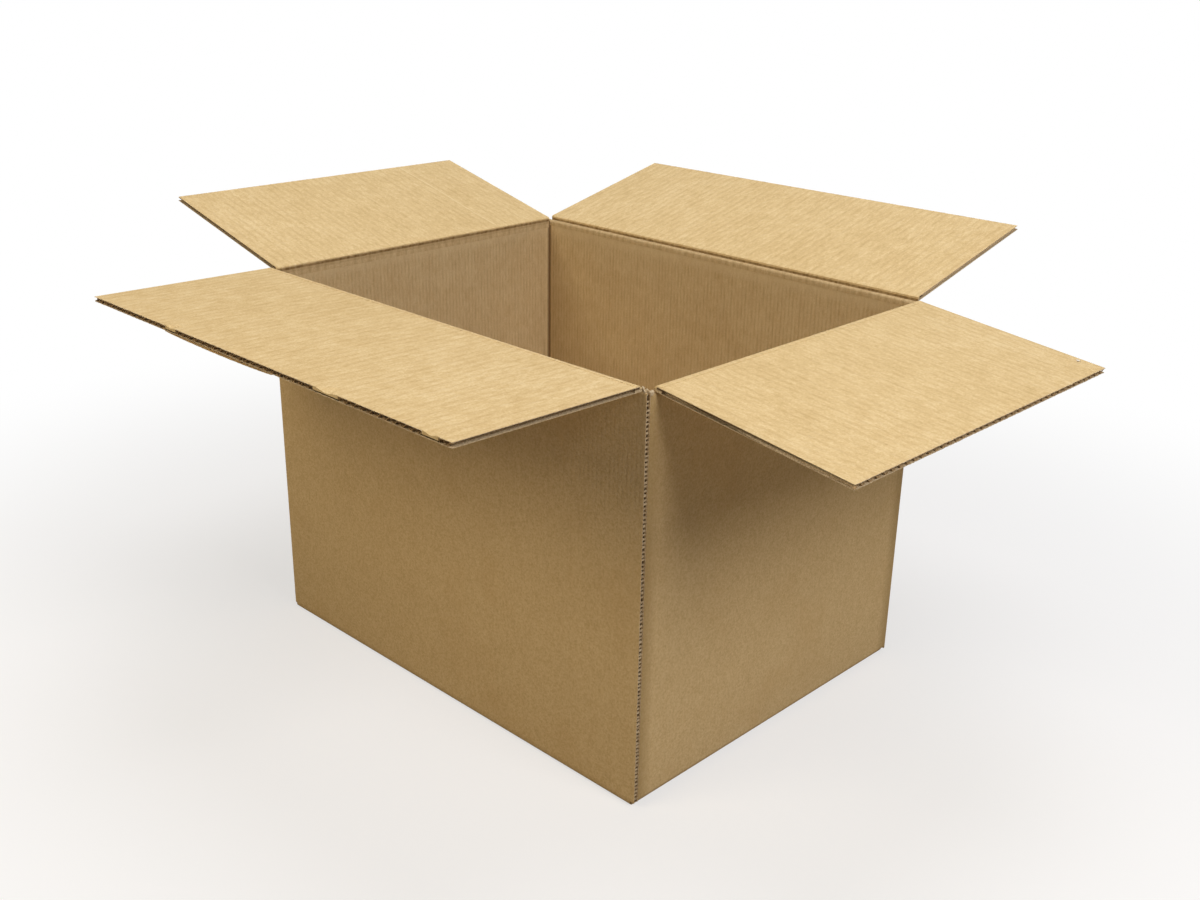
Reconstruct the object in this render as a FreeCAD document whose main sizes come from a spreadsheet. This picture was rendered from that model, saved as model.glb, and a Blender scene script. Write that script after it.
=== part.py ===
import FreeCAD, Part
import Sketcher
import os

# Open slotted box of single-wall corrugated board, long axis along X, front long wall facing -Y.
# The origin is the middle of the footprint, Z is up, sizes are millimetres and angles are degrees.

os.makedirs("parts", exist_ok=True)
doc = FreeCAD.newDocument("OpenBox")
sheet = doc.addObject("Spreadsheet::Sheet", "Dimensions")
sheet.Label = "Dimensions"

SIZES = (
    # room inside the box, and the board that it is folded from
    ("inside_length", 400.0),
    ("inside_width", 300.0),
    ("rim_level", 302.0),
    ("board", 3.6),
    ("clearance", 0.3),
    # corners of the folded walls
    ("corner_round", 3.4),
    ("bottom_round", 2.6),
    ("short_crown_round", 3.0),
    ("crown_ease", 0.15),
    # top flaps: reach past the outer face, slot beside each end, level of the short pair
    ("flap_reach", 147.6),
    ("slot_inset", 0.5),
    ("joint_slot_inset", 5.0),
    ("short_pair_drop", 1.0),
    ("root_round", 1.6),
    # flutes between the two liners
    ("flute_pitch", 7.5),
    ("liner", 0.4),
    ("web_rise", 0.3),
    ("cell_base", 2.75),
    ("cell_shoulder", 1.9),
    ("cell_crown", 0.75),
    ("edge_channel", 0.9),
    ("crushed_root", 6.0),
    # knocks along the front flap's outer edge: place along the fold, width, depth, run inward
    ("left_knock_at", 93.0),
    ("left_knock_width", 13.0),
    ("left_knock_depth", 0.9),
    ("middle_knock_at", -84.7),
    ("middle_knock_width", 25.0),
    ("middle_knock_depth", 1.6),
    ("right_knock_at", -181.0),
    ("right_knock_width", 14.0),
    ("right_knock_depth", 1.1),
    ("knock_run", 9.0),
    # bottom flaps
    ("bottom_flap", 150.0),
    ("bottom_seam", 0.8),
    # glued lap behind the front wall, and the raw edge that covers it
    ("lap_width", 35.0),
    ("lap_top_drop", 22.0),
    ("lap_lift", 2.0),
    ("lap_taper", 9.0),
    ("raw_edge_back", 0.3),
    ("raw_channel", 1.3),
    ("joint_fold", 3.0),
    # the flaps as they stand in the opened box, above the horizontal
    ("front_rise", 1.0),
    ("right_rise", -6.8),
    ("back_rise", 13.5),
    ("left_rise", 13.7),
)
for row, (alias, value) in enumerate(SIZES, start=1):
    sheet.set(f"A{row}", alias)
    sheet.set(f"B{row}", str(value))
    sheet.setAlias(f"B{row}", alias)
doc.recompute()

D = "<<Dimensions>>."
OUTER_X = f"({D}inside_length / 2 + {D}board)"
OUTER_Y = f"({D}inside_width / 2 + {D}board)"
INNER_X = f"({D}inside_length / 2)"
INNER_Y = f"({D}inside_width / 2)"


def evaluate(text):
    value = sheet.evalExpression(text)
    return float(getattr(value, "Value", value))


def plane(body, role):
    for feature in body.Origin.OriginFeatures:
        if feature.Role == role:
            return feature
    raise ValueError(role)


def new_body(label):
    body = doc.addObject("PartDesign::Body", label)
    body.Label = label
    return body


def new_sketch(body, name, role, level="0"):
    """Empty sketch on one of the body's own planes, moved along the plane's normal."""
    sketch = body.newObject("Sketcher::SketchObject", name)
    sketch.AttachmentSupport = [(plane(body, role), "")]
    sketch.MapMode = "FlatFace"
    sketch.setExpression("AttachmentOffset.Base.z", level)
    return sketch


def closed_outline(sketch, corners):
    """Closed outline through the corners, each a pair of expressions measured from the origin."""
    values = [(evaluate(x), evaluate(y)) for x, y in corners]
    first = sketch.GeometryCount
    total = len(corners)
    for i in range(total):
        a = FreeCAD.Vector(*values[i], 0)
        b = FreeCAD.Vector(*values[(i + 1) % total], 0)
        sketch.addGeometry(Part.LineSegment(a, b), False)
    for i in range(total):
        following = first + (i + 1) % total
        sketch.addConstraint(Sketcher.Constraint("Coincident", first + i, 2, following, 1))
    for i, (x, y) in enumerate(corners):
        for kind, text, value in (("DistanceX", x, values[i][0]), ("DistanceY", y, values[i][1])):
            where = sketch.addConstraint(
                Sketcher.Constraint(kind, -1, 1, first + i, 1, value)
            )
            sketch.setExpression(f"Constraints[{where}]", text)


def rectangle(sketch, x0, y0, x1, y1):
    closed_outline(sketch, [(x0, y0), (x1, y0), (x1, y1), (x0, y1)])


def pad(body, sketch, length, name, reverse=False):
    feature = body.newObject("PartDesign::Pad", name)
    feature.Profile = sketch
    feature.Reversed = reverse
    feature.setExpression("Length", length)
    return feature


def pocket(body, sketch, length, name, reverse=False, midplane=False):
    feature = body.newObject("PartDesign::Pocket", name)
    feature.Profile = sketch
    feature.Reversed = reverse
    feature.Midplane = midplane
    feature.setExpression("Length", length)
    doc.recompute()
    if feature.Shape.Volume > feature.BaseFeature.Shape.Volume - 1:
        raise ValueError(f"{name} removed nothing")
    return feature


def edges_at(shape, test):
    """Names of the edges whose middle and direction pass the test."""
    names = []
    for i, edge in enumerate(shape.Edges, start=1):
        a, b = edge.Vertexes[0].Point, edge.Vertexes[-1].Point
        if test((a + b) / 2, b - a):
            names.append(f"Edge{i}")
    return names


def fillet(body, test, radius, name):
    """Rounds the edges of the body so far whose middle and run pass the test."""
    doc.recompute()
    base = body.Tip
    names = edges_at(base.Shape, test)
    if not names:
        raise ValueError(f"{name} found no edge")
    feature = body.newObject("PartDesign::Fillet", name)
    feature.Base = (base, names)
    feature.setExpression("Radius", radius)
    return feature


def near(a, b):
    return abs(a - b) < 0.01


def long_pair():
    """How the long (front and back) flaps turn: the axis is in the middle of the wall."""
    return {"axis_out": "0", "top": f"{D}rim_level"}


def short_pair():
    """How the short (end) flaps turn: closed, they lie one board and a clearance under the long pair."""
    axis_in = f"({D}board + {D}clearance - {D}short_pair_drop) / 2"
    return {"axis_out": f"(0 - {axis_in})", "top": f"({D}rim_level - {D}short_pair_drop)"}


def under_side(pair):
    """Height of the opened flap's underside above its axis; hanging, it clears the wall."""
    return f"({D}board / 2 + {D}clearance - {pair['axis_out']})"


def axis_level(pair):
    return f"({pair['top']} - {D}board - {under_side(pair)})"


def root_start(pair):
    """Distance from the axis to the flap's root; closed, it clears the wall's inner face."""
    return f"({D}board / 2 + {D}clearance + {pair['axis_out']})"


def wall_crown(pair):
    """Top of the wall, inside the circle that the flap's root sweeps."""
    sweep = f"sqrt({root_start(pair)} ^ 2 + {under_side(pair)} ^ 2)"
    return f"({axis_level(pair)} + {sweep} - {D}clearance - {D}crown_ease)"


def add_walls(body):
    """Four walls from one sheet; the front wall's raw end covers the fold of the glued lap."""
    raw = f"({OUTER_X} - {D}raw_edge_back)"
    channel = f"({raw} - {D}raw_channel)"
    fold = f"{D}joint_fold"
    bevel = f"({fold} * (1 - sqrt(0.5)))"
    liner_out = f"({D}liner - {OUTER_Y})"
    liner_in = f"(0 - {D}liner - {INNER_Y})"
    sketch = new_sketch(body, "WallOutline", "XY_Plane", f"{D}board")
    closed_outline(sketch, [
        (f"-{OUTER_X}", f"-{OUTER_Y}"),
        (raw, f"-{OUTER_Y}"),
        (raw, liner_out),
        (channel, liner_out),
        (channel, liner_in),
        (raw, liner_in),
        (raw, f"-{INNER_Y}"),
        (f"({OUTER_X} - {fold})", f"-{INNER_Y}"),
        (f"({OUTER_X} - {bevel})", f"({bevel} - {INNER_Y})"),
        (OUTER_X, f"({fold} - {INNER_Y})"),
        (OUTER_X, OUTER_Y),
        (f"-{OUTER_X}", OUTER_Y),
    ])
    rectangle(sketch, f"-{INNER_X}", f"-{INNER_Y}", INNER_X, INNER_Y)
    pad(body, sketch, f"{wall_crown(long_pair())} - {D}board", "Walls")


def add_bottom_flaps(body):
    """Long flaps lie outermost and meet in a seam along X; short flaps lie on them."""
    end = f"({INNER_X} - {D}slot_inset)"
    seam = f"({D}bottom_seam / 2)"
    for sign, name in (("-", "Front"), ("", "Back")):
        sketch = new_sketch(body, f"{name}BottomOutline", "XY_Plane")
        rectangle(sketch, f"-{end}", f"{sign}{seam}", end, f"{sign}{OUTER_Y}")
        pad(body, sketch, f"{D}board", f"{name}BottomFlap")
    side_end = f"({INNER_Y} - {D}slot_inset)"
    reach = f"({INNER_X} - {D}bottom_flap)"
    for sign, name in (("-", "Left"), ("", "Right")):
        sketch = new_sketch(body, f"{name}BottomOutline", "XY_Plane", f"{D}board")
        rectangle(sketch, f"{sign}{reach}", f"-{side_end}", f"{sign}{INNER_X}", side_end)
        pad(body, sketch, f"{D}board", f"{name}BottomFlap")


def add_lap(body):
    """Glued lap of the right wall inside the front wall, cut on a slant at both ends."""
    far = f"({INNER_X} - {D}lap_width)"
    low = f"(2 * {D}board + {D}lap_lift)"
    high = f"({D}rim_level - {D}lap_top_drop)"
    sketch = new_sketch(body, "LapOutline", "XZ_Plane", f"{INNER_Y} - {D}board")
    closed_outline(sketch, [
        (INNER_X, low),
        (INNER_X, high),
        (far, f"({high} - {D}lap_taper)"),
        (far, f"({low} + {D}lap_taper)"),
    ])
    pad(body, sketch, f"{D}board", "GluedLap")


def rounded_edge(level, radius, away):
    """Points of a quarter round on an end wall's outer edge, from its level to the outer face."""
    points = []
    for angle in (0, 30, 60, 90):
        out = f"({OUTER_X} - {radius} * (1 - sin({angle} deg)))"
        points.append((out, f"({level} {away} {radius} * (1 - cos({angle} deg)))"))
    return points


def trim_end_walls(body, name, corners):
    """Cuts one outline through both end walls, between the long walls."""
    for sign, side in (("-", "Left"), ("", "Right")):
        sketch = new_sketch(body, f"{side}{name}Outline", "XZ_Plane")
        closed_outline(sketch, [(f"{sign}{out}", height) for out, height in corners])
        pocket(body, sketch, f"2 * {INNER_Y}", f"{side}{name}", midplane=True)


def shape_rim(body):
    """End walls stand lower than the long walls, and every wall top is rounded."""
    long_top, short_top = wall_crown(long_pair()), wall_crown(short_pair())
    above = f"({long_top} + {D}board)"
    beyond, within = f"({OUTER_X} + {D}board)", f"({INNER_X} - {D}board)"
    curve = rounded_edge(short_top, f"{D}short_crown_round", "-")
    trim_end_walls(body, "Rim", [
        *curve, (beyond, curve[-1][1]), (beyond, above), (within, above), (within, short_top),
    ])
    middle, radius = f"({INNER_Y} + {D}board / 2)", f"({D}board / 2)"
    spring = f"({long_top} - {radius})"
    for sign, side in (("-", "Front"), ("", "Back")):
        curve = []
        for angle in range(-90, 91, 30):
            out = f"({middle} + {radius} * sin({angle} deg))"
            curve.append((f"{sign}{out}", f"({spring} + {radius} * cos({angle} deg))"))
        sketch = new_sketch(body, f"{side}RimOutline", "YZ_Plane")
        closed_outline(sketch, [
            (f"{sign}({middle} - {D}board)", above),
            (f"{sign}({middle} - {D}board)", spring),
            *curve,
            (f"{sign}({middle} + {D}board)", spring),
            (f"{sign}({middle} + {D}board)", above),
        ])
        pocket(body, sketch, f"2 * {OUTER_X} + {D}board", f"{side}Rim", midplane=True)


def round_folds(body):
    """Folds between the walls and the bottom flaps, and the upright corner folds."""
    beyond = f"({OUTER_X} + {D}board)"
    curve = rounded_edge(f"{D}board", f"{D}bottom_round", "+")
    trim_end_walls(body, "Foot", [*curve, (beyond, curve[-1][1]), (beyond, f"{D}board")])
    outer_x, outer_y = evaluate(OUTER_X), evaluate(OUTER_Y)
    fillet(
        body,
        lambda at, run: near(at.z, 0) and near(run.y, 0) and near(abs(at.y), outer_y),
        f"{D}bottom_round",
        "LongFoot",
    )
    fillet(
        body,
        lambda at, run: near(run.x, 0) and near(run.y, 0) and near(abs(at.x), outer_x)
        and near(abs(at.y), outer_y) and abs(run.z) > outer_y,
        f"{D}corner_round",
        "WallFolds",
    )


def make_box_body():
    body = new_body("box_body")
    add_walls(body)
    add_bottom_flaps(body)
    add_lap(body)
    doc.recompute()
    round_folds(body)
    shape_rim(body)
    return body


def add_flutes(body, low_end, high_end, tip, pair):
    """One pair of cells, over and under the wavy medium, repeated along the flap's outer edge."""
    width = f"({high_end} - {low_end})"
    count = f"floor(({width} - 2 * {D}edge_channel) / {D}flute_pitch + 1)"
    pitch = f"(({width} - 2 * {D}edge_channel) / ({count} - 0.5))"
    low = f"({under_side(pair)} + {D}liner)"
    high = f"({under_side(pair)} + {D}board - {D}liner)"
    middle = f"(({low} + {high}) / 2)"
    crest_low = f"({low} + {D}web_rise)"
    crest_high = f"({high} - {D}web_rise)"
    sketch = new_sketch(body, "FluteOutline", "XZ_Plane", f"0 - {tip}")
    for step, foot, crest in (("0", low, crest_high), ("0.5", high, crest_low)):
        centre = f"({low_end} + {D}edge_channel + {step} * {pitch})"
        closed_outline(sketch, [
            (f"({centre} - {D}cell_base)", foot),
            (f"({centre} + {D}cell_base)", foot),
            (f"({centre} + {D}cell_shoulder)", middle),
            (f"({centre} + {D}cell_crown)", crest),
            (f"({centre} - {D}cell_crown)", crest),
            (f"({centre} - {D}cell_shoulder)", middle),
        ])
    depth = f"({tip} - {root_start(pair)} - {D}crushed_root)"
    cells = pocket(body, sketch, depth, "FluteCells", reverse=True)
    row = body.newObject("PartDesign::LinearPattern", "FluteRow")
    row.Originals = [cells]
    row.Direction = (sketch, ["H_Axis"])
    row.setExpression("Occurrences", count)
    row.setExpression("Length", f"{pitch} * ({count} - 1)")
    body.Tip = row


def add_knock(body, name, tip, pair):
    """Knocked spot on the outer edge: flutes pressed shut, top liner sunk and rising inward."""
    at, width, depth = (f"{D}{name}_knock_{part}" for part in ("at", "width", "depth"))
    title = name.capitalize()
    pressed = new_sketch(body, f"{title}PressedOutline", "XY_Plane", under_side(pair))
    rectangle(
        pressed,
        f"({at} - {width} / 2)", f"({tip} - {D}knock_run)", f"({at} + {width} / 2)", tip
    )
    pad(body, pressed, f"{D}board", f"{title}Pressed")
    top = f"({under_side(pair)} + {D}board)"
    slope = f"({depth} / {D}knock_run)"
    sketch = new_sketch(body, f"{title}KnockOutline", "XZ_Plane", f"0 - {tip}")
    sketch.setExpression("AttachmentOffset.Rotation.Axis.x", "1")
    sketch.setExpression("AttachmentOffset.Rotation.Axis.z", "0")
    sketch.setExpression("AttachmentOffset.Rotation.Angle", f"0 deg - atan({slope})")
    shares = ((-0.5, 0), (-0.3, 0.35), (-0.1, 0.95), (0.05, 1), (0.2, 0.6), (0.35, 0.2), (0.5, 0))
    valley = [(f"({at} + {x} * {width})", f"({top} - {z} * {depth})") for x, z in shares]
    closed_outline(sketch, [
        *valley, (valley[-1][0], f"({top} + {D}board)"), (valley[0][0], f"({top} + {D}board)"),
    ])
    pocket(body, sketch, f"2 * {D}knock_run", f"{title}Knock", reverse=True)


def make_flap(label, pair, ends, wall_face, heading, rise):
    """Flap built flat about its own fold axis, then turned to face out and set at its rest angle."""
    low_end, high_end, high_root_end = ends
    body = new_body(label)
    tip = f"({D}flap_reach + {D}board / 2 - {pair['axis_out']})"
    root = root_start(pair)
    outline = new_sketch(body, "FlapOutline", "XY_Plane", under_side(pair))
    closed_outline(outline, [
        (low_end, root), (high_root_end, root), (high_end, tip), (low_end, tip),
    ])
    pad(body, outline, f"{D}board", "Board")
    root_at, top = evaluate(root), evaluate(f"{under_side(pair)} + {D}board")
    fillet(
        body,
        lambda at, run: near(at.y, root_at) and near(at.z, top) and near(run.y, 0),
        f"{D}root_round",
        "RootRound",
    )
    doc.recompute()
    add_flutes(body, low_end, high_end, tip, pair)
    turn = FreeCAD.Rotation(FreeCAD.Vector(0, 0, 1), heading)
    lift = FreeCAD.Rotation(FreeCAD.Vector(1, 0, 0), evaluate(f"{D}{rise}"))
    body.Placement = FreeCAD.Placement(FreeCAD.Vector(0, 0, 0), turn * lift)
    out = turn.multVec(FreeCAD.Vector(0, 1, 0))
    distance = f"({wall_face} - {D}board / 2 + {pair['axis_out']})"
    for axis, part in (("x", out.x), ("y", out.y)):
        body.setExpression(f"Placement.Base.{axis}", f"{round(part)} * {distance}")
    body.setExpression("Placement.Base.z", axis_level(pair))
    return body


def make_flaps():
    """Front, back, right and left flap; the right one is cut slantwise beside the glued corner."""
    long_end = f"({INNER_X} - {D}slot_inset)"
    short_end = f"({INNER_Y} - {D}slot_inset)"
    joint_end = f"({INNER_Y} - {D}joint_slot_inset)"
    long_ends = (f"-{long_end}", long_end, long_end)
    short_ends = (f"-{short_end}", short_end, short_end)
    joint_ends = (f"-{short_end}", short_end, joint_end)
    front = make_flap("front_flap", long_pair(), long_ends, OUTER_Y, 180, "front_rise")
    tip = f"({D}flap_reach + {D}board / 2)"
    for name in ("left", "middle", "right"):
        doc.recompute()
        add_knock(front, name, tip, long_pair())
    return [
        front,
        make_flap("back_flap", long_pair(), long_ends, OUTER_Y, 0, "back_rise"),
        make_flap("right_flap", short_pair(), joint_ends, OUTER_X, -90, "right_rise"),
        make_flap("left_flap", short_pair(), short_ends, OUTER_X, 90, "left_rise"),
    ]


bodies = [make_box_body(), *make_flaps()]
doc.recompute()
for item in doc.Objects:
    if "Invalid" in item.State or "Error" in item.State:
        raise ValueError(f"{item.Name}: {item.State}")
for body in bodies:
    shape = body.Shape
    if shape.isNull() or not shape.isValid() or len(shape.Solids) != 1:
        raise ValueError(f"{body.Label}: {len(shape.Solids)} solids, valid {shape.isValid()}")
    box = shape.BoundBox
    print(body.Label, len(shape.Faces), "faces", round(shape.Volume), "mm3",
          [round(v, 2) for v in (box.XMin, box.XMax, box.YMin, box.YMax, box.ZMin, box.ZMax)])
    shape.exportStep(f"parts/{body.Label}.step")
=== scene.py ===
import math
import random

import bmesh
import bpy
from mathutils import Matrix, Vector


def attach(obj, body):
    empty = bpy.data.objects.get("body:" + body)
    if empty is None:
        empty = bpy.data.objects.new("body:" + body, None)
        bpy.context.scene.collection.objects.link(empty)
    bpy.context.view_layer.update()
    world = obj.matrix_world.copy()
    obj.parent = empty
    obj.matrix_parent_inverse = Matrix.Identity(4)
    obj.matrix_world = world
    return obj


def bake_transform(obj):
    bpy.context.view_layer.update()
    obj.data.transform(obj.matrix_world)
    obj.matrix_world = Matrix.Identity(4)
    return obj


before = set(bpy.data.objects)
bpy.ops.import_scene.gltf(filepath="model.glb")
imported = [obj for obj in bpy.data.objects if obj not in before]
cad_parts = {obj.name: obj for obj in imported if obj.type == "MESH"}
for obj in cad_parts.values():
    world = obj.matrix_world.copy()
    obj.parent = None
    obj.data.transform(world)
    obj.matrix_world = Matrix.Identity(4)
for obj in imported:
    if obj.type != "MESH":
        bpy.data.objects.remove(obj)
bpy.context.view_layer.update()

# Sizes of the folded board, in metres.
BOARD = 0.0036  # single wall: two liners and the fluted medium
HALF = BOARD / 2
LENGTH = 0.4  # inside, along the long walls
WIDTH = 0.3  # inside, along the end walls
FLUTE = 0.0075  # one wave of the medium
FLAP_END = 0.0005  # a flap stops this far inside the walls' inner faces, at both ends
FLAP_REACH = 0.1476  # from the fold to the outer edge, less half the board
FOLD_ROOM = 0.0003  # between the fold and the flap's flat part
SHORT_AXIS_OUT = -0.00145  # the end walls' folds lie further in, under the long flaps
LONG_AXIS = (WIDTH / 2 + HALF, 0.2963)  # out from the middle of the box, and up
SHORT_AXIS = (LENGTH / 2 + HALF + SHORT_AXIS_OUT, 0.29385)
LONG_END = LENGTH / 2 - FLAP_END
SHORT_END = WIDTH / 2 - FLAP_END
TRIM = 0.0002  # a dressed strip stops this short of the flap's own ends
FACE = 0.00006  # a point this close to a liner's level counts as on its face
LINER = 0.00048  # cut liner that shows at a flap's edge
RAW_LINER = 0.00042  # the same at the walls' raw upright edge


def hex_colour(text):
    """sRGB hex code as linear RGBA."""
    values = [int(text[i:i + 2], 16) / 255 for i in (1, 3, 5)]
    linear = [v / 12.92 if v <= 0.04045 else ((v + 0.055) / 1.055) ** 2.4 for v in values]
    return (*linear, 1.0)


def node(tree, kind, inputs=(), out=0, stops=(), **settings):
    """Adds a shader node and returns the output asked for, or the node itself where out is None.
    An input given as a socket is linked, anything else is its value. Stops are the places and hex
    colours of a colour ramp."""
    made = tree.nodes.new("ShaderNode" + kind)
    for name, value in settings.items():
        setattr(made, name, value)
    for key, value in inputs.items() if isinstance(inputs, dict) else enumerate(inputs):
        if isinstance(value, bpy.types.NodeSocket):
            tree.links.new(value, made.inputs[key])
        else:
            made.inputs[key].default_value = value
    for at, (place, colour) in enumerate(stops):
        stop = made.color_ramp.elements[at] if at < 2 else made.color_ramp.elements.new(place)
        stop.position = place
        stop.color = hex_colour(colour)
    return made if out is None else made.outputs[out]


def weighted(tree, *terms):
    """Sum of patterns, each times its weight."""
    total = 0.0
    for value, weight in terms:
        total = node(tree, "Math", (value, weight, total), operation="MULTIPLY_ADD")
    return total


def combine(tree, operation, *masks):
    """Masks put together: MULTIPLY gives 1 where all are 1, MAXIMUM where any is."""
    result = masks[0]
    for mask in masks[1:]:
        result = node(tree, "Math", (result, mask), operation=operation)
    return result


def within(tree, value, centre, half):
    """1 where value is within half of centre."""
    past = node(tree, "Math", (value, centre), operation="SUBTRACT")
    off = node(tree, "Math", (past,), operation="ABSOLUTE")
    return node(tree, "Math", (off, half), operation="LESS_THAN")


def laid_over(tree, base, over, mask, strength=1.0):
    """The base colour with another, a socket or a hex code, laid over it where the mask says."""
    share = node(tree, "Math", (mask, strength), operation="MULTIPLY")
    over = hex_colour(over) if isinstance(over, str) else over
    return node(tree, "Mix", {0: share, 6: base, 7: over}, out=2, data_type="RGBA")


def paper_pattern(tree, where, size, detail=3.0, stretch=(1, 1, 1), roughness=0.55):
    """Cloudy pattern of paper, its cells as many millimetres across as size says, drawn out along
    the direction whose stretch is below 1."""
    place = node(tree, "Mapping", {"Vector": where, "Scale": stretch})
    return node(tree, "TexNoise", {
        "Vector": place, "Scale": 1000 / size, "Detail": detail, "Roughness": roughness,
    })


# Sizes in the paper, in millimetres. Kraft fibres are about 0.03 mm wide and a fibre end or a burr
# of cut board about 0.1 mm, too fine for the render, so those marked drawn coarse are drawn as
# coarse as they need to show.
CLOUD = 142.9  # uneven tone of the paper web
PATCH = 14.29  # flocks of fibre
FIBRE = 2.381  # drawn coarse
GRAIN = 1.316  # drawn coarse
FINE_GRAIN = 1.429  # drawn coarse
SPECK = 1.923  # darker bits of bark in the pulp
WAVER = 55.56  # the ribs stray from straight over this length
RIB_BREAK = 4.167  # ribs fade in and out along the flute
SCORE_WANDER = 111.1  # the same for the pale line on the left flap
SEAM_WANDER = 3.03  # and for the painted shade of the crushed seam in a knock
LIP_WANDER = 6.25  # and for the lip of a scored fold
CRACK = 2.632  # short cracks across a scored fold
RUB = 62.5  # areas rubbed paler by handling
FRAY = 0.909  # cut board's fibre ends, drawn coarse
TORN_FIBRE = 0.6667  # drawn coarse
TORN_PATCH = 3.846

ALONG_FLAP = (1, 0.3, 1)  # fibres about three times as long as wide, outward from the fold
UPRIGHT = (1, 1, 0.3)  # the same, up the walls
ALL_WAYS = (1, 1, 1)

# Liner colours, each light, middle, dark and the line between two flutes, which is painted shade
# where the liner sinks.
# INNER_LIT and INNER_SHADED are one inner liner: painted light makes it paler on the flap tops and
# painted shade darker and greyer inside the walls.
INNER_LIT = ("#f1dbad", "#e4ca97", "#d6ba85", "#bd9c68")
INNER_SHADED = ("#dec9a0", "#d0b88e", "#c1a67b", "#a2865a")
OUTER = ("#e4cb9c", "#d9be8d", "#caae7c", "#c0a26f")
BARK = "#9a7444"

KRAFT_ROUGHNESS = (0.74, 0.9)
TORN_ROUGHNESS = (0.8, 0.95)
PAPER_SHINE = 0.18  # paper has the default IOR of 1.5, but its pores scatter most of the shine
FLAP_RELIEF = 0.00026  # depth of the bump from a rise to a hollow, in metres
WALL_RELIEF = 0.0002
SCORED_RELIEF = 0.00022
TORN_RELIEF = 0.0002


def new_material(name):
    made = bpy.data.materials.new(name)
    made.use_nodes = True
    made.node_tree.nodes.clear()
    return made


def finish_paper(tree, colour, uneven, roughness, height, depth):
    """Matt paper, rougher and smoother as the uneven pattern says, with its relief as bump."""
    rough = node(tree, "MapRange", (uneven, 0.3, 0.7, *roughness))
    bump = node(tree, "Bump", {"Strength": 1.0, "Distance": depth, "Height": height})
    shader = node(tree, "BsdfPrincipled", {
        "Base Color": colour, "Roughness": rough, "Normal": bump,
        "Specular IOR Level": PAPER_SHINE,
    })
    node(tree, "OutputMaterial", {"Surface": shader}, out=None)


def board_surface(tree, where, along, stretch, pitch=FLUTE):
    """Tone, ribs and height shared by every liner: clouds, patches, fibres lying along the flutes,
    and the washboard where the liner sinks between the flutes."""
    clouds = paper_pattern(tree, where, CLOUD)
    patches = paper_pattern(tree, where, PATCH)
    fibres = paper_pattern(tree, where, FIBRE, 4.0, stretch, 0.7)
    grain = paper_pattern(tree, where, GRAIN, 4.0, roughness=0.75)
    waver = weighted(tree, (paper_pattern(tree, where, WAVER, 2.0, stretch), 1.1))
    phase = node(tree, "Math", (along, 2 * math.pi / pitch, waver), operation="MULTIPLY_ADD")
    sine = node(tree, "Math", (phase,), operation="SINE")
    wave = node(tree, "Math", (sine, 0.5, 0.5), operation="MULTIPLY_ADD")
    rib = node(tree, "Math", (wave, 2.0), operation="POWER")
    breaks = paper_pattern(tree, where, RIB_BREAK, 3.0, stretch)
    rib = combine(tree, "MULTIPLY", rib, node(tree, "MapRange", (breaks, 0.36, 0.62, 0.12, 1.0)))
    tone = weighted(tree, (clouds, 0.12), (patches, 0.16), (fibres, 0.3), (grain, 0.42))
    height = weighted(tree, (grain, 0.4), (fibres, 0.3), (rib, -0.6))
    return tone, rib, height, patches


def liner_colour(tree, where, tone, rib, colours, rib_share, stretch):
    """Kraft liner in one of the palettes, with painted shade in its ribs' hollows and specks of
    bark.
    """
    light, middle, dark, groove_shade = colours
    liner = node(tree, "ValToRGB", (tone,), stops=((0.4, dark), (0.5, middle), (0.6, light)))
    # Painted shade in the washboard's sunk lines.
    liner = laid_over(tree, liner, groove_shade, rib, rib_share)
    bits = paper_pattern(tree, where, SPECK, 2.0, stretch)
    return laid_over(tree, liner, BARK, node(tree, "MapRange", (bits, 0.7, 0.76)), 0.3)


def cut_board(tree, where, *pairs):
    """Fibre ends of cut board, once for each pair of a darker and a lighter hex code."""
    ends = paper_pattern(tree, where, FRAY)
    return [node(tree, "ValToRGB", (ends,), stops=((0.36, a), (0.62, b))) for a, b in pairs]


CUT_LINER = ("#b29a78", "#e2d0ae")
CUT_MEDIUM = ("#9b7f58", "#cdb188")
# Painted shade in the flutes at a flap's edge.
FLUTE_SHADE = ("#4a3826", "#6f573b")
RAW_FLUTE_SHADE = ("#3a2b1c", "#5e4830")
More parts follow.
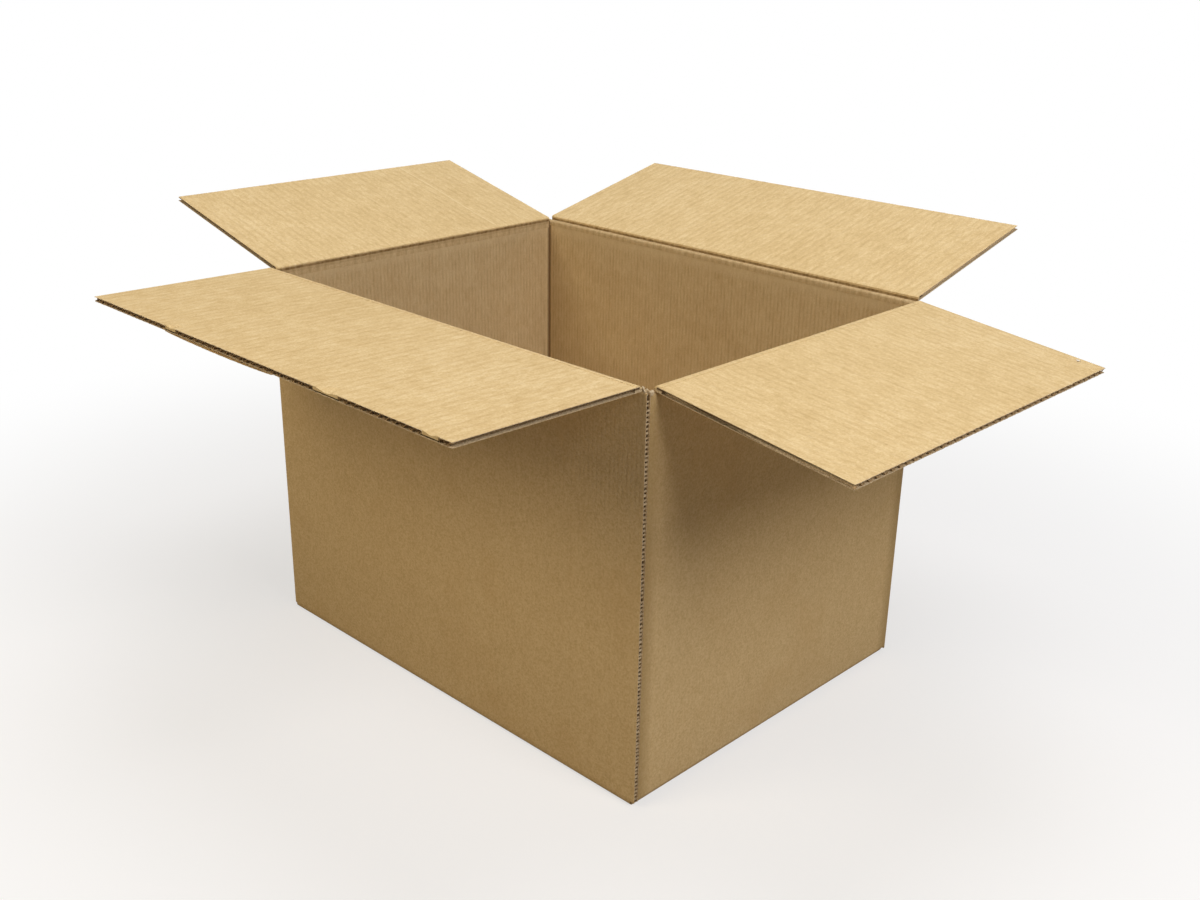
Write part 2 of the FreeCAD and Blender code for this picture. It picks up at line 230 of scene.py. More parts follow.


# Corrugated kraft board, unbleached and uncoated, from the flap side. It gives the eye a matt,
# warm buff sheet with fine fibres and soft ribs over the flutes, with painted shade where the
# liner sinks, and at the edge a paler cut with painted shade in its hollows.
def flap_kraft(name, flap):
    """Inner liner above, paler than inside the walls as painted light, browner outer liner below,
    grey-buff cut liners round the edge and medium darkened by painted shade inside the flutes and
    in the crushed seam of a knock. Patterns are laid in the flap's own flat frame."""
    made = new_material(name)
    tree = made.node_tree
    where = node(tree, "Mapping", {
        "Vector": node(tree, "TexCoord", out="Object"), "Location": flap.frame().translation,
        "Rotation": (math.radians(flap.rise), 0, math.radians(flap.heading)),
    }, vector_type="TEXTURE")
    x, y, z = node(tree, "SeparateXYZ", (where,), out=None).outputs
    tone, rib, height, patches = board_surface(tree, where, x, ALONG_FLAP)
    # Inner liner in its paler copy, as painted light.
    inner = liner_colour(tree, where, tone, rib, INNER_LIT, 0.25, ALONG_FLAP)
    outer = liner_colour(tree, where, tone, rib, OUTER, 0.12, ALONG_FLAP)
    line_sway = 0.006
    for at, low, high, half in flap.pale_lines:
        strays = paper_pattern(tree, where, SCORE_WANDER, 2.0)
        middle = at - line_sway / 2
        line = node(tree, "Math", (strays, line_sway, middle), operation="MULTIPLY_ADD")
        off_line = node(tree, "Math", (x, line), operation="SUBTRACT")
        score = combine(
            tree, "MULTIPLY", within(tree, off_line, 0.0, half),
            within(tree, y, (low + high) / 2, (high - low) / 2),
        )
        inner = laid_over(tree, inner, "#f6e3b8", score, 0.5)

    # The inner liner also covers the rounded end of the flap at its fold.
    round_top, round_end = flap.under + BOARD - 0.0017, flap.root + 0.0018
    is_outer = node(tree, "Math", (z, flap.under + FACE), operation="LESS_THAN")
    is_inner = within(tree, z, flap.under + BOARD, FACE)
    high_up = node(tree, "Math", (z, round_top), operation="GREATER_THAN")
    by_fold = node(tree, "Math", (y, round_end), operation="LESS_THAN")
    is_inner = combine(tree, "MAXIMUM", is_inner, combine(tree, "MULTIPLY", high_up, by_fold))

    # In a knock the inner liner is pressed down behind the edge, and folds over the edge itself.
    edge_face = flap.tip - 0.00008
    knock_floor, folded_from, splay = flap.under + 0.0017, flap.under + 0.0013, 0.001
    pressed = 0.0
    for at, half in flap.knocks:
        sunk = combine(
            tree, "MULTIPLY", within(tree, x, at, half),
            node(tree, "Math", (z, knock_floor), operation="GREATER_THAN"),
            node(tree, "Math", (y, edge_face), operation="LESS_THAN"),
        )
        is_inner = combine(tree, "MAXIMUM", is_inner, sunk)
        crushed = combine(
            tree, "MULTIPLY", within(tree, x, at, half + splay),
            node(tree, "Math", (y, edge_face), operation="GREATER_THAN"),
        )
        pressed = combine(tree, "MAXIMUM", pressed, crushed)
    folded = node(tree, "Math", (z, folded_from), operation="GREATER_THAN")
    is_inner = combine(tree, "MAXIMUM", is_inner, combine(tree, "MULTIPLY", pressed, folded))

    # Painted shade darkens the flutes, except their floor and their first few millimetres from the
    # edge, which light reaches.
    cut, web, flute_shade = cut_board(tree, where, CUT_LINER, CUT_MEDIUM, FLUTE_SHADE)
    shade_low, shade_high = flap.under + 0.0012, flap.under + 0.0025
    shade_end, shade_start = flap.tip - 0.0026, flap.tip - 0.0003
    flute_shade = laid_over(tree, cut, flute_shade, node(tree, "MapRange", (z, shade_low, shade_high)))
    deep_shade = node(tree, "MapRange", (y, shade_end, shade_start, 1.0, 0.0))
    middle = within(tree, z, flap.under + HALF, HALF - LINER)
    edge = laid_over(tree, cut, web, middle)
    edge = laid_over(tree, edge, flute_shade, deep_shade, middle)
    # Painted shade: a dark broken line in the gap between the crushed liners of a knock.
    seam_level, seam_half, seam_sway = flap.under + 0.0004, 0.0004, 0.0012
    strays = weighted(tree, (paper_pattern(tree, where, SEAM_WANDER, 2.0), seam_sway))
    off_seam = node(tree, "Math", (z, strays), operation="SUBTRACT")
    seam_shade = within(tree, off_seam, seam_level, seam_half)
    edge = laid_over(tree, edge, "#2f2418", seam_shade, pressed)
    colour = laid_over(tree, edge, outer, is_outer)
    colour = laid_over(tree, colour, inner, is_inner)
    finish_paper(tree, colour, patches, KRAFT_ROUGHNESS, height, FLAP_RELIEF)
    return made


# Corrugated kraft board of the walls and bottom. It gives the eye a matt brown sheet, close and
# even outside, a little greyer and darker inside as painted shade and faintly ribbed, with pressed
# lines in the corners darkened by painted shade.
def wall_kraft():
    """Outer liner even in grain, with painted shade where the end walls bend into the long ones
    and at the foot, and rubbed paler in places. Inner liner darker and greyer as painted shade,
    with upright ribs, a painted highlight where it rolls into the fold and in each corner a
    pressed line darkened by painted shade beside a painted highlight. The raw upright edge is
    grey-buff cut board with painted shade in its flutes."""
    made = new_material("kraft_liner_walls")
    tree = made.node_tree
    where = node(tree, "TexCoord", out="Object")
    normal = node(tree, "TexCoord", out="Normal")
    x, y, z = node(tree, "SeparateXYZ", (where,), out=None).outputs
    normal_x = node(tree, "SeparateXYZ", (normal,))
    facing_end = node(tree, "Math", (normal_x,), operation="ABSOLUTE")
    end_wall = node(tree, "Math", (facing_end, 0.7), operation="GREATER_THAN")
    along = node(tree, "Mix", {0: end_wall, 2: x, 3: y}, data_type="FLOAT")
    tone, rib, height, patches = board_surface(tree, where, along, UPRIGHT, FLUTE / 2)

    roll_from, roll_to = 0.284, 0.2915  # levels between which the liner rolls into the fold
    rim_roll_highlight = node(tree, "MapRange", (z, roll_from, roll_to))
    calm = node(tree, "Math", (rim_roll_highlight, -0.3, 0.34), operation="MULTIPLY_ADD")
    # Inner liner in its darker, greyer copy, as painted shade.
    inner = node(tree, "ValToRGB", (tone,), stops=(
        (0.38, INNER_SHADED[2]), (0.5, INNER_SHADED[1]), (0.62, INNER_SHADED[0]),
    ))
    inner = laid_over(tree, inner, INNER_SHADED[3], rib, calm)
    # Painted highlight where the liner rolls over into the fold.
    inner = laid_over(tree, inner, "#e6d3ab", rim_roll_highlight, 0.3)

    even = paper_pattern(tree, where, FINE_GRAIN, 4.0, roughness=0.75)
    even = weighted(tree, (tone, 0.38), (even, 0.62))
    outer = liner_colour(tree, where, even, rib, OUTER, 0.03, ALL_WAYS)
    side_x = node(tree, "Math", (x,), operation="ABSOLUTE")
    side_y = node(tree, "Math", (y,), operation="ABSOLUTE")
    # Painted shade darkens the end walls' outer liner where they bend into the long walls.
    bend_from, bend_to = WIDTH / 2 - 0.012, WIDTH / 2 - 0.002
    bend_shade = node(tree, "MapRange", (side_y, bend_from, bend_to, 0.0, 0.5))
    turned = node(tree, "MapRange", (facing_end, 0.3, 0.6))
    outer = laid_over(tree, outer, "#a18554", turned, bend_shade)

    # How far a point inside lies from the nearest inner corner line.
    from_x = node(tree, "Math", (LENGTH / 2, side_x), operation="SUBTRACT")
    from_y = node(tree, "Math", (WIDTH / 2, side_y), operation="SUBTRACT")
    corner = combine(tree, "MAXIMUM", from_x, from_y)
    over_floor = node(tree, "Math", (z, 2 * BOARD), operation="SUBTRACT")
    floor_gap = node(tree, "Math", (over_floor,), operation="ABSOLUTE")
    foot = combine(tree, "MAXIMUM", floor_gap, combine(tree, "MINIMUM", from_x, from_y))
    fold = combine(tree, "MINIMUM", corner, foot)
    # Painted shade darkens each corner's pressed line, a painted highlight its ridge beside it.
    line_dark, line_end = 0.0010, 0.0026  # the pressed line, dark at first and then fading
    ridge_at, ridge_half = 0.0036, 0.0009  # the paler ridge beside it
    pressed = node(tree, "MapRange", (fold, line_dark, line_end, 0.75, 0.0))
    ridge_highlight = within(tree, corner, ridge_at, ridge_half)
    inner = laid_over(tree, inner, "#7d5f3a", pressed)
    inner = laid_over(tree, inner, "#ead2a4", ridge_highlight, 0.35)

    # Painted shade darkens the outer liner towards the floor.
    foot_shade_from, foot_shade_to = 0.001, 0.006  # levels at the foot
    foot_shade = node(tree, "MapRange", (z, foot_shade_from, foot_shade_to, 0.45, 0.0))
    outer = laid_over(tree, outer, "#8f6c40", foot_shade)
    rubs = paper_pattern(tree, where, RUB, 4.0)
    rubbed = node(tree, "MapRange", (rubs, 0.55, 0.75, 0.0, 0.25))
    outer = laid_over(tree, outer, "#c6a36c", rubbed)
    slack = 0.0002  # lets the inner faces themselves count as inside
    inside = combine(
        tree, "MULTIPLY",
        node(tree, "Math", (side_x, LENGTH / 2 + slack), operation="LESS_THAN"),
        node(tree, "Math", (side_y, WIDTH / 2 + slack), operation="LESS_THAN"),
        node(tree, "Math", (z, BOARD - slack / 2), operation="GREATER_THAN"),
    )
    colour = laid_over(tree, outer, inner, inside)

    # The front wall's raw end stands outside both inner faces and looks along the box.
    raw_from_x, raw_from_y = LENGTH / 2 + 0.0019, -WIDTH / 2 - 0.0001
    raw = combine(
        tree, "MULTIPLY",
        node(tree, "Math", (x, raw_from_x), operation="GREATER_THAN"),
        node(tree, "Math", (y, raw_from_y), operation="LESS_THAN"),
        node(tree, "Math", (normal_x, 0.5), operation="GREATER_THAN"),
    )
    # Painted shade in the flutes between the raw edge's cut liners.
    cut, flute_shade = cut_board(tree, where, CUT_LINER, RAW_FLUTE_SHADE)
    between_liners = within(tree, y, -WIDTH / 2 - HALF, HALF - RAW_LINER)
    raw_board = laid_over(tree, cut, flute_shade, between_liners)
    colour = laid_over(tree, colour, raw_board, raw)
    finish_paper(tree, colour, patches, KRAFT_ROUGHNESS, height, WALL_RELIEF)
    return made


def put_material(obj, material):
    obj.data.materials.clear()
    obj.data.materials.append(material)


class Flap:
    """Where a flap's fold lies and how far it reaches, in metres in the flap's own flat frame:
    x along the fold, y outward from it, z up from it. Heading and rise are in degrees. A knock is
    its place and half its length along the edge, and a pale line its place along the fold, where
    it starts and ends outward, and half its width."""

    def __init__(self, body, heading, rise, axis, axis_out, end, knocks=(), pale_lines=()):
        self.body, self.heading, self.rise, self.axis = body, heading, rise, axis
        self.ends = (-end, end)
        self.under = HALF + FOLD_ROOM - axis_out
        self.root = HALF + FOLD_ROOM + axis_out
        self.tip = FLAP_REACH + HALF - axis_out
        self.knocks, self.pale_lines = knocks, pale_lines

    def frame(self):
        turn = Matrix.Rotation(math.radians(self.heading), 4, "Z")
        lift = Matrix.Rotation(math.radians(self.rise), 4, "X")
        return turn @ Matrix.Translation((0, *self.axis)) @ lift


FLAPS = front, back, right, left = (
    Flap("front_flap", 180, 1.0, LONG_AXIS, 0, LONG_END,
         knocks=((0.093, 0.0065), (-0.0847, 0.0125), (-0.181, 0.007))),
    Flap("back_flap", 0, 13.5, LONG_AXIS, 0, LONG_END),
    Flap("right_flap", -90, -6.8, SHORT_AXIS, SHORT_AXIS_OUT, SHORT_END),
    Flap("left_flap", 90, 13.7, SHORT_AXIS, SHORT_AXIS_OUT, SHORT_END,
         pale_lines=((0.086, 0.004, 0.15, 0.0006),)),
)
put_material(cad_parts["box_body"], wall_kraft())
for flap in FLAPS:
    put_material(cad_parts[flap.body], flap_kraft(f"kraft_{flap.body}", flap))


# Kraft liner pressed by a scoring wheel and bent. It gives the eye the same buff paper as beside
# it, a band along the fold browned by the pressing and by painted shade, and a finely cracked lip
# where the flap begins, darkened by painted shade.
def scored_kraft(name, low, high):
    """Scored liner over a fold, read from the strip's own map, turning from the walls' painted
    shade to the flaps' painted light past the fold, with the pressed groove between low and high
    on the way across it and a lip at its flap side, both darkened by painted shade."""
    soft, lip_half, lip_sway = 0.0005, 0.0011, 0.0012
    made = new_material(name)
    tree = made.node_tree
    where = node(tree, "UVMap", uv_map="liner")
    u, v, _ = node(tree, "SeparateXYZ", (where,), out=None).outputs
    tone, rib, height, patches = board_surface(tree, where, u, ALONG_FLAP)
    # The wall side takes the inner liner's painted shade and the flap side its painted light.
    wall = liner_colour(tree, where, tone, rib, INNER_SHADED, 0.4, ALONG_FLAP)
    flap_side = liner_colour(tree, where, tone, rib, INNER_LIT, 0.25, ALONG_FLAP)
    past_fold = node(tree, "MapRange", (v, (low + high) / 2, high + 0.0004))
    colour = laid_over(tree, wall, flap_side, past_fold)
    strays = paper_pattern(tree, where, LIP_WANDER)
    wander = node(tree, "Math", (strays, lip_sway, -lip_sway / 2), operation="MULTIPLY_ADD")
    shifted = node(tree, "Math", (v, wander), operation="ADD")
    groove_shade = combine(
        tree, "MULTIPLY", node(tree, "MapRange", (shifted, low, low + soft)),
        node(tree, "MapRange", (shifted, high - soft, high, 1.0, 0.0)), 0.5,
    )
    lip_shade = within(tree, shifted, high - soft, lip_half)
    cracks = paper_pattern(tree, where, CRACK, 3.0, (1, 0.2, 1))
    cracks = node(tree, "MapRange", (cracks, 0.4, 0.65, 0.5, 0.9))
    # Painted shade in the pressed groove and on its lip, broken by the cracks.
    colour = laid_over(tree, colour, "#a98d63", groove_shade, cracks)
    colour = laid_over(tree, colour, "#80653f", lip_shade, cracks)
    finish_paper(tree, colour, patches, KRAFT_ROUGHNESS, height, SCORED_RELIEF)
    return made


def only(obj):
    """Makes the object the one that operators act on."""
    bpy.ops.object.select_all(action="DESELECT")
    obj.select_set(True)
    bpy.context.view_layer.objects.active = obj


def fresh_edit(obj):
    only(obj)
    bpy.ops.object.mode_set(mode="EDIT")
    return bmesh.from_edit_mesh(obj.data)


def edge_strip(name, start, end, profile, cuts):
    """Strip swept by extruding one edge along the profile points (outward, up), then cut across
    at even steps from start to end."""
    bpy.ops.mesh.primitive_plane_add(size=1)
    obj = bpy.context.object
    obj.name = name
    mesh = fresh_edit(obj)
    bpy.ops.mesh.select_all(action="DESELECT")
    low = [v for v in mesh.verts if v.co.y < 0]
    high = [v for v in mesh.verts if v.co.y > 0]
    for row, (out, up) in ((low, profile[0]), (high, profile[1])):
        for v in row:
            v.co = Vector((start if v.co.x < 0 else end, out, up))
    bpy.context.tool_settings.mesh_select_mode = (False, True, False)
    for e in mesh.edges:
        e.select = all(v in high for v in e.verts)
    bmesh.update_edit_mesh(obj.data)
    for (out_a, up_a), (out_b, up_b) in zip(profile[1:], profile[2:]):
        bpy.ops.mesh.extrude_region_move(
            TRANSFORM_OT_translate={"value": (0, out_b - out_a, up_b - up_a)}
        )
    bpy.ops.mesh.select_all(action="DESELECT")
    mesh = bmesh.from_edit_mesh(obj.data)
    for e in mesh.edges:
        e.select = abs((e.verts[0].co - e.verts[1].co).x) > 1e-6
    bmesh.update_edit_mesh(obj.data)
    bpy.ops.mesh.subdivide_edgering(number_cuts=cuts, interpolation="LINEAR")
    bpy.ops.mesh.select_all(action="SELECT")
    bpy.ops.mesh.normals_make_consistent(inside=False)
    bpy.ops.object.mode_set(mode="OBJECT")
    return obj


def rotate_points(profile, degrees):
    c, s = math.cos(math.radians(degrees)), math.sin(math.radians(degrees))
    return [(a * c - b * s, a * s + b * c) for a, b in profile]


def map_strip(strip, profile):
    """Lays the strip flat as its own map: along the fold, then the way along the profile."""
    travelled = [0.0]
    for (a, b), (c, d) in zip(profile, profile[1:]):
        travelled.append(travelled[-1] + math.hypot(c - a, d - b))
    layer = strip.data.uv_layers.new(name="liner")
    for loop in strip.data.loops:
        co = strip.data.vertices[loop.vertex_index].co
        gaps = [math.hypot(co.y - a, co.z - b) for a, b in profile]
        layer.data[loop.index].uv = (co.x, travelled[gaps.index(min(gaps))])


def thicken(obj, thickness, offset=0):
    thick = obj.modifiers.new("thickness", "SOLIDIFY")
    thick.thickness = thickness
    thick.offset = offset
    bpy.context.view_layer.objects.active = obj
    bpy.ops.object.modifier_apply(modifier="thickness")


def settle(obj, matrix):
    """Puts a finished piece where the matrix says and leaves its own place plain."""
    obj.matrix_world = matrix
    only(obj)
    bpy.ops.object.transform_apply(location=True, rotation=True, scale=True)
    bpy.ops.object.shade_smooth_by_angle(angle=math.radians(40))


CREASE_CUTS, CREASE_LINER, CREASE_WAVER = 160, 0.00014, 0.00003


def crease_strip(name, flap, ends, wall_points, flap_points, material):
    """Inner liner running over one crease. Wall points stay where they are given and flap points
    are turned by the flap's rise."""
    points = wall_points + rotate_points(flap_points, flap.rise)
    profile = [(a / 1000, b / 1000) for a, b in points]
    strip = edge_strip(name, *ends, profile, CREASE_CUTS)
    map_strip(strip, profile)
    scatter = random.Random(name)
    for v in strip.data.vertices:
        v.co.y += scatter.uniform(-CREASE_WAVER, CREASE_WAVER)
        v.co.z += scatter.uniform(-CREASE_WAVER, CREASE_WAVER)
    thicken(strip, CREASE_LINER)
    turn = Matrix.Rotation(math.radians(flap.heading), 4, "Z")
    place = turn @ Matrix.Translation((0, *flap.axis))
    settle(strip, place)
    put_material(strip, material)
    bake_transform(strip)


# Profiles over the fold, in millimetres out from and up from the fold's axis.
LONG_WALL = [
    (-1.93, -2.4), (-1.93, -0.8), (-1.93, 0.72), (-1.67, 1.69), (-0.97, 2.39), (0, 2.65),
    (0.97, 2.42),
]
LONG_FLAP = [(1.75, 2.5), (1.93, 3.2), (1.97, 4.1), (2.47, 5.33), (3.7, 5.81), (6.6, 5.83)]
SHORT_WALL = [(-0.48, -2.2), (-0.48, -0.4), (-0.48, 2.6), (-0.44, 3.1), (-0.38, 3.3)]
SHORT_FLAP = [(0.5, 3.72), (0.52, 4.5), (0.52, 5.6), (1.03, 6.78), (2.25, 7.26), (5.2, 7.28)]
LONG_SPAN = (-LONG_END + TRIM, LONG_END - TRIM)
SHORT_SPAN = (-SHORT_END + TRIM, SHORT_END - TRIM)
CUT_BACK_SPAN = (SHORT_SPAN[0], WIDTH / 2 - 0.0052)  # clear of the raw edge at the glued corner
long_score = scored_kraft("kraft_liner_scored_long", 0.0044, 0.0086)
short_score = scored_kraft("kraft_liner_scored_short", 0.0034, 0.0076)
crease_strip("front_crease_liner", front, LONG_SPAN, LONG_WALL, LONG_FLAP, long_score)
crease_strip("back_crease_liner", back, LONG_SPAN, LONG_WALL, LONG_FLAP, long_score)
crease_strip("right_crease_liner", right, CUT_BACK_SPAN, SHORT_WALL, SHORT_FLAP, short_score)
crease_strip("left_crease_liner", left, SHORT_SPAN, SHORT_WALL, SHORT_FLAP, short_score)


# Paper torn by hand or cut by a worn knife. It gives the eye a soft, dull, greyer buff with fine
# fibre ends and darker gaps between them.
def torn_paper(name, low, high):
    """Torn or cut paper between a darker and a lighter hex code."""
    made = new_material(name)
    tree = made.node_tree
    where = node(tree, "TexCoord", out="Object")
    fibres = paper_pattern(tree, where, TORN_FIBRE, 4.0, roughness=0.7)
    patches = paper_pattern(tree, where, TORN_PATCH)
    tone = weighted(tree, (fibres, 0.5), (patches, 0.5))
    colour = node(tree, "ValToRGB", (tone,), stops=((0.38, low), (0.6, high)))
    finish_paper(tree, colour, fibres, TORN_ROUGHNESS, tone, TORN_RELIEF)
    return made


cut_edge = torn_paper("cut_liner_edge", "#b59d7a", "#e6d6b6")
torn_fibre = torn_paper("torn_board_fibre", "#a58d6c", "#dccbab")
LIP_REACH, LIP_THICKNESS, LIP_CUTS = 0.0003, 0.00026, 420
LIP_INSET = 0.0002  # from the middle of a lip to the liner's face


def frayed_edge(name, flap, level):
    """Thin uneven lip of cut liner standing just proud of the flap's outer edge. At a knock the
    upper lip is tucked down into the pressed board."""
    tucked_back, tucked_down = 0.0008, 0.0012
    ends = (flap.ends[0] + TRIM, flap.ends[1] - TRIM)
    profile = [(flap.tip + out, level) for out in (-0.0006, -0.0001, LIP_REACH)]
    strip = edge_strip(name, *ends, profile, LIP_CUTS)
    scatter = random.Random(name)
    upper = level > flap.under + HALF
    for v in strip.data.vertices:
        if upper and any(abs(v.co.x - at) < half for at, half in flap.knocks):
            v.co.y = flap.tip - tucked_back + 0.3 * (v.co.y - flap.tip)
            v.co.z = flap.under + tucked_down
        elif v.co.y > flap.tip:
            v.co.y += scatter.uniform(-0.9, 0.6) * LIP_REACH
            v.co.z += scatter.uniform(-0.00006, 0.00006)
    thicken(strip, LIP_THICKNESS)
    settle(strip, flap.frame())
    put_material(strip, cut_edge)
    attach(strip, flap.body)


for flap in FLAPS:
    frayed_edge(f"{flap.body}_inner_lip", flap, flap.under + BOARD - LIP_INSET)
    frayed_edge(f"{flap.body}_outer_lip", flap, flap.under + LIP_INSET)


def parted_liner(flap, start, end):
    """Outer liner that has come away from the flutes along part of the front flap's edge, where it
    hangs lower and lower towards the edge."""
    glued = flap.under - 0.0002
    thickness, cuts = 0.00034, 120
    profile = [
        (flap.tip - 0.016, glued), (flap.tip - 0.011, flap.under - 0.0003),
        (flap.tip - 0.006, flap.under - 0.0008), (flap.tip + 0.0002, flap.under - 0.0017),
    ]
    strip = edge_strip("front_flap_parted_liner", start, end, profile, cuts)
    scatter = random.Random("parted")
    for v in strip.data.vertices:
        share = max(0.0, math.sin(math.pi * (v.co.x - start) / (end - start))) ** 0.6
        v.co.z = glued - (glued - v.co.z) * share
        if v.co.y > flap.tip:
            v.co.y += scatter.uniform(-0.0002, 0.0002)
    thicken(strip, thickness)
    settle(strip, flap.frame())
    put_material(strip, bpy.data.materials["kraft_front_flap"])
    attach(strip, flap.body)


parted_liner(front, -0.029, 0.1)


def knife_teeth():
    """Bridges of torn medium that the knife left across the raw upright edge, one every 3 mm."""
    low, high, pitch = 0.0065, 0.2985, 0.00295
    tooth_size, rounding = (0.0011, 0.0027, 0.0013), 0.0002
    out_of_corner = 0.0026  # past the end wall's inner face
    bpy.ops.mesh.primitive_cube_add(size=1)
    teeth = bpy.context.object
    teeth.name = "raw_edge_bridges"
    teeth.scale = tooth_size
    bpy.ops.object.transform_apply(location=False, rotation=False, scale=True)
    fresh_edit(teeth)
    bpy.ops.mesh.select_all(action="SELECT")
    bpy.ops.mesh.bevel(offset=rounding, segments=2, affect="EDGES")
    bpy.ops.object.mode_set(mode="OBJECT")
    count = int((high - low) / pitch)
    each = len(teeth.data.vertices)
    row = teeth.modifiers.new("row", "ARRAY")
    row.count = count
    row.use_relative_offset = False
    row.use_constant_offset = True
    row.constant_offset_displace = (0, 0, pitch)
    bpy.ops.object.modifier_apply(modifier="row")
    scatter = random.Random("bridges")
    shifts = [[scatter.uniform(-1, 1) for _ in range(3)] for _ in range(count)]
    for v in teeth.data.vertices:
        a, b, c = shifts[v.index // each]
        middle = (v.index // each) * pitch
        v.co.z = middle + (v.co.z - middle) * (1 + 0.25 * a) + 0.0003 * b
        v.co.x += 0.00018 * c + scatter.uniform(-0.00005, 0.00005)
        v.co.y += scatter.uniform(-0.00003, 0.00003)
    settle(teeth, Matrix.Translation((LENGTH / 2 + out_of_corner, -WIDTH / 2 - HALF, low)))
    put_material(teeth, torn_fibre)
    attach(teeth, "box")


knife_teeth()


def torn_slot(name, place, size):
    """Ragged lump of fibre left where the slot knife stopped at a corner of the rim."""
    bpy.ops.mesh.primitive_ico_sphere_add(subdivisions=4, radius=0.5)
    lump = bpy.context.object
    lump.name = name
    lump.scale = size
    bpy.ops.object.transform_apply(location=False, rotation=False, scale=True)
    scatter = random.Random(name)
    waves = [
        [scatter.uniform(700, 2600) for _ in range(3)] + [scatter.uniform(0, 6)]
        for _ in range(7)
    ]
    for v in lump.data.vertices:
        x, y, z = v.co
        swell = sum(math.sin(a * x + b * y + c * z + d) for a, b, c, d in waves) / len(waves)
        v.co *= 1 + 0.42 * swell
    settle(lump, Matrix.Translation(place))
    put_material(lump, torn_fibre)
    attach(lump, "box")


# Each lump's name, its place by the corner where the walls' middles meet, and its size.
CORNER_X, CORNER_Y = LENGTH / 2 + HALF, WIDTH / 2 + HALF
for name, place, size in (
    ("front_right_a", (CORNER_X - 0.0008, -CORNER_Y + 0.0006, 0.2978), (0.0048, 0.0040, 0.0040)),
    ("front_right_b", (CORNER_X + 0.0002, -CORNER_Y + 0.0036, 0.2968), (0.0032, 0.0050, 0.0038)),
    ("front_right_c", (CORNER_X - 0.0032, -CORNER_Y + 0.0002, 0.2990), (0.0030, 0.0026, 0.0042)),
    ("back_right", (CORNER_X, CORNER_Y, 0.2976), (0.0042, 0.0040, 0.0030)),
    ("back_left", (-CORNER_X, CORNER_Y, 0.2976), (0.0036, 0.0038, 0.0028)),
    ("front_left", (-CORNER_X, -CORNER_Y, 0.2976), (0.0038, 0.0036, 0.0028)),
):
    torn_slot(f"torn_slot_{name}", place, size)


def paper_fleck():
    """Small curled fleck of pale paper lying near the far corner of the right flap."""
    bpy.ops.mesh.primitive_grid_add(x_subdivisions=10, y_subdivisions=8, size=1)
    fleck = bpy.context.object
    fleck.name = "paper_fleck"
    scatter = random.Random("fleck")
    for v in fleck.data.vertices:
        x, y = v.co.x, v.co.y
        v.co.x = x * 0.0034 * (1 - 0.5 * abs(y)) + scatter.uniform(-0.0001, 0.0001)
        v.co.y = y * 0.0021 + 0.0004 * math.sin(4 * x)
        v.co.z = 0.0009 * x * x + 0.0007 * max(0.0, y)
    thickness, turned, lifted = 0.00012, 0.6, 0.0001
    thicken(fleck, thickness, 1)
    lie = Matrix.Translation((-0.144, 0.1335, right.under + BOARD + lifted))
    settle(fleck, right.frame() @ lie @ Matrix.Rotation(turned, 4, "Z"))
    put_material(fleck, torn_paper("pale_paper_fleck", "#cfc6b4", "#f1ece0"))
    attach(fleck, "right_flap")


paper_fleck()


# Painted studio floor. It gives the eye a white ground with the box's soft grey shadow, whiter
# with distance, and throws a warmer light back at the box.
def stage_floor():
    bpy.ops.mesh.primitive_plane_add(size=30)
    floor = bpy.context.object
    floor.name = "stage_floor"
    floor.location.z = -0.0004
    made = new_material("pale_floor")
    tree = made.node_tree
    to_camera = node(tree, "LightPath", out="Is Camera Ray")
    where = node(tree, "TexCoord", out="Object")
    reach = node(tree, "VectorMath", (where,), out="Value", operation="LENGTH")
    far = node(tree, "MapRange", (reach, 0.35, 0.95), interpolation_type="SMOOTHSTEP")
    lit = node(tree, "BsdfDiffuse", {"Color": (0.95, 0.95, 0.95, 1)})
    plain = node(tree, "Emission", {"Color": (1, 1, 1, 1), "Strength": 1.0})
    share = node(tree, "Math", (far, 0.4, 0.6), operation="MULTIPLY_ADD")
    seen = node(tree, "MixShader", (share, lit, plain))
    cast = node(tree, "BsdfDiffuse", {"Color": hex_colour("#aaa298")})
    both = node(tree, "MixShader", (to_camera, cast, seen))
    node(tree, "OutputMaterial", {"Surface": both}, out=None)
    put_material(floor, made)


def area_light(name, place, target, size, power, colour):
    data = bpy.data.lights.new(name, "AREA")
    data.shape = "DISK"
    data.size = size
    data.energy = power
    data.color = hex_colour(colour)[:3]
    lamp = bpy.data.objects.new(name, data)
    bpy.context.scene.collection.objects.link(lamp)
    lamp.location = place
    lamp.rotation_euler = (Vector(target) - Vector(place)).to_track_quat("-Z", "Y").to_euler()


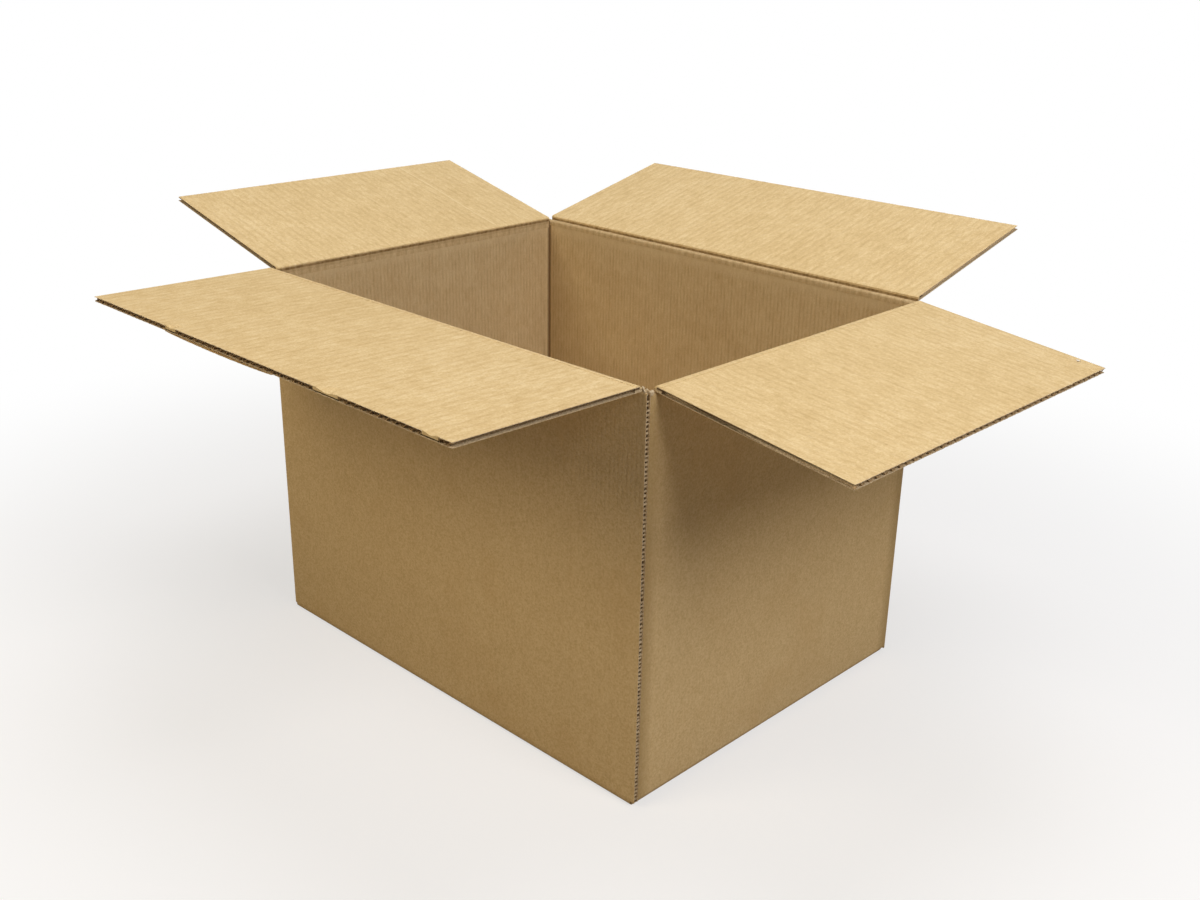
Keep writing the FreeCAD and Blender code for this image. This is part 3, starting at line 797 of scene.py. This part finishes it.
def stage_world():
    """White where the camera looks past the box, and a faint warm fill on the box itself."""
    world = bpy.data.worlds.new("studio")
    world.use_nodes = True
    tree = world.node_tree
    tree.nodes.clear()
    to_camera = node(tree, "LightPath", out="Is Camera Ray")
    soft = node(tree, "Background", {"Color": (1.0, 0.98, 0.95, 1), "Strength": 0.12})
    white = node(tree, "Background", {"Color": (1, 1, 1, 1), "Strength": 1.0})
    both = node(tree, "MixShader", (to_camera, soft, white))
    node(tree, "OutputWorld", {"Surface": both}, out=None)
    bpy.context.scene.world = world


# The camera as fitted to the box's corners: its place, its angles in degrees, and its focal
# length in pixels of an image this wide.
CAMERA_PLACE = (0.7117, -0.7194, 0.5592)
AZIMUTH, ELEVATION, ROLL = 44.007, 21.399, 1.038
FOCAL_PIXELS, IMAGE_PIXELS, SENSOR = 1340.03, 1200, 36


def stage_camera():
    azimuth, elevation, roll = (math.radians(v) for v in (AZIMUTH, ELEVATION, ROLL))
    backward = Vector((
        math.sin(azimuth) * math.cos(elevation),
        -math.cos(azimuth) * math.cos(elevation),
        math.sin(elevation),
    ))
    level = Vector((0, 0, 1)).cross(backward).normalized()
    upward = backward.cross(level)
    turned_level = math.cos(roll) * level + math.sin(roll) * upward
    turned_up = math.cos(roll) * upward - math.sin(roll) * level
    data = bpy.data.cameras.new("camera")
    data.lens = FOCAL_PIXELS * SENSOR / IMAGE_PIXELS
    data.sensor_width = SENSOR
    camera = bpy.data.objects.new("camera", data)
    bpy.context.scene.collection.objects.link(camera)
    columns = Matrix((turned_level, turned_up, backward)).transposed().to_4x4()
    columns.translation = Vector(CAMERA_PLACE)
    camera.matrix_world = columns
    bpy.context.scene.camera = camera


stage_floor()
stage_world()
stage_camera()
# Each light's place, the point that it faces, its width in metres, its power in watts and its
# colour.
area_light("overhead", (-0.2, 0.38, 2.15), (0, 0, 0.2), 1.3, 17.6, "#fbfbff")
area_light("front_softbox", (-0.5, -1.65, 1.35), (0, 0, 0.2), 1.0, 13.2, "#ffeccb")
area_light("right_softbox", (1.65, -0.2, 1.5), (0, 0, 0.15), 1.0, 20.5, "#fff8f2")
bpy.context.scene.view_settings.view_transform = "Standard"
